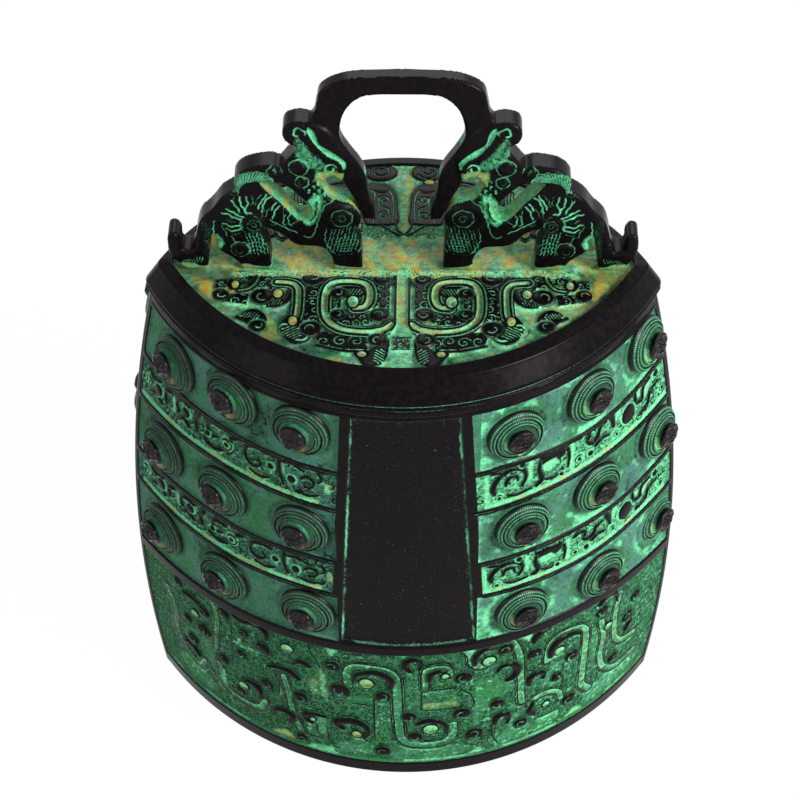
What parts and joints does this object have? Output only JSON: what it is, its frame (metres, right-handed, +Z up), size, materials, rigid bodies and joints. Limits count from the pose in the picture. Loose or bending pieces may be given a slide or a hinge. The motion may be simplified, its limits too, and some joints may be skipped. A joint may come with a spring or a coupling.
{
  "type": "bronze zhong bell",
  "caption": "Clapperless zhong bell of patinated cast bronze with a lens-shaped body, coiled bosses, a rimmed crown plate and an openwork handle of two confronted beasts holding a loop.",
  "frame": {"origin": "on the floor under the middle of the bell's mouth", "axes": "+Z up the bell's height, +X along the wide side of the lens-shaped section, front face towards -Y"},
  "size_m": [0.2182, 0.1336, 0.3172],
  "materials": {
    "body_bronze": "cast bronze, green patina in the hollows, dark and rubbed on the ridges",
    "boss_bronze": "cast bronze, dark knobs with green and ochre patina in the coils",
    "crown_bronze": "dark smooth bronze rim, green and ochre patina on the sunken field",
    "handle_bronze": "dark satin bronze, green patina in the carving"
  },
  "bodies": {
    "root": {"bell_body": "body_bronze", "boss_front_upper_left_inner": "boss_bronze", "boss_front_upper_left_middle": "boss_bronze", "boss_front_upper_left_outer": "boss_bronze", "boss_front_upper_right_inner": "boss_bronze", "boss_front_upper_right_middle": "boss_bronze", "boss_front_upper_right_outer": "boss_bronze", "boss_front_middle_left_inner": "boss_bronze", "boss_front_middle_left_middle": "boss_bronze", "boss_front_middle_left_outer": "boss_bronze", "boss_front_middle_right_inner": "boss_bronze", "boss_front_middle_right_middle": "boss_bronze", "boss_front_middle_right_outer": "boss_bronze", "boss_front_lower_left_inner": "boss_bronze", "boss_front_lower_left_middle": "boss_bronze", "boss_front_lower_left_outer": "boss_bronze", "boss_front_lower_right_inner": "boss_bronze", "boss_front_lower_right_middle": "boss_bronze", "boss_front_lower_right_outer": "boss_bronze", "boss_back_upper_left_inner": "boss_bronze", "boss_back_upper_left_middle": "boss_bronze", "boss_back_upper_left_outer": "boss_bronze", "boss_back_upper_right_inner": "boss_bronze", "boss_back_upper_right_middle": "boss_bronze", "boss_back_upper_right_outer": "boss_bronze", "boss_back_middle_left_inner": "boss_bronze", "boss_back_middle_left_middle": "boss_bronze", "boss_back_middle_left_outer": "boss_bronze", "boss_back_middle_right_inner": "boss_bronze", "boss_back_middle_right_middle": "boss_bronze", "boss_back_middle_right_outer": "boss_bronze", "boss_back_lower_left_inner": "boss_bronze", "boss_back_lower_left_middle": "boss_bronze", "boss_back_lower_left_outer": "boss_bronze", "boss_back_lower_right_inner": "boss_bronze", "boss_back_lower_right_middle": "boss_bronze", "boss_back_lower_right_outer": "boss_bronze", "crown_plate": "crown_bronze", "handle": "handle_bronze"}
  },
  "joints": []
}
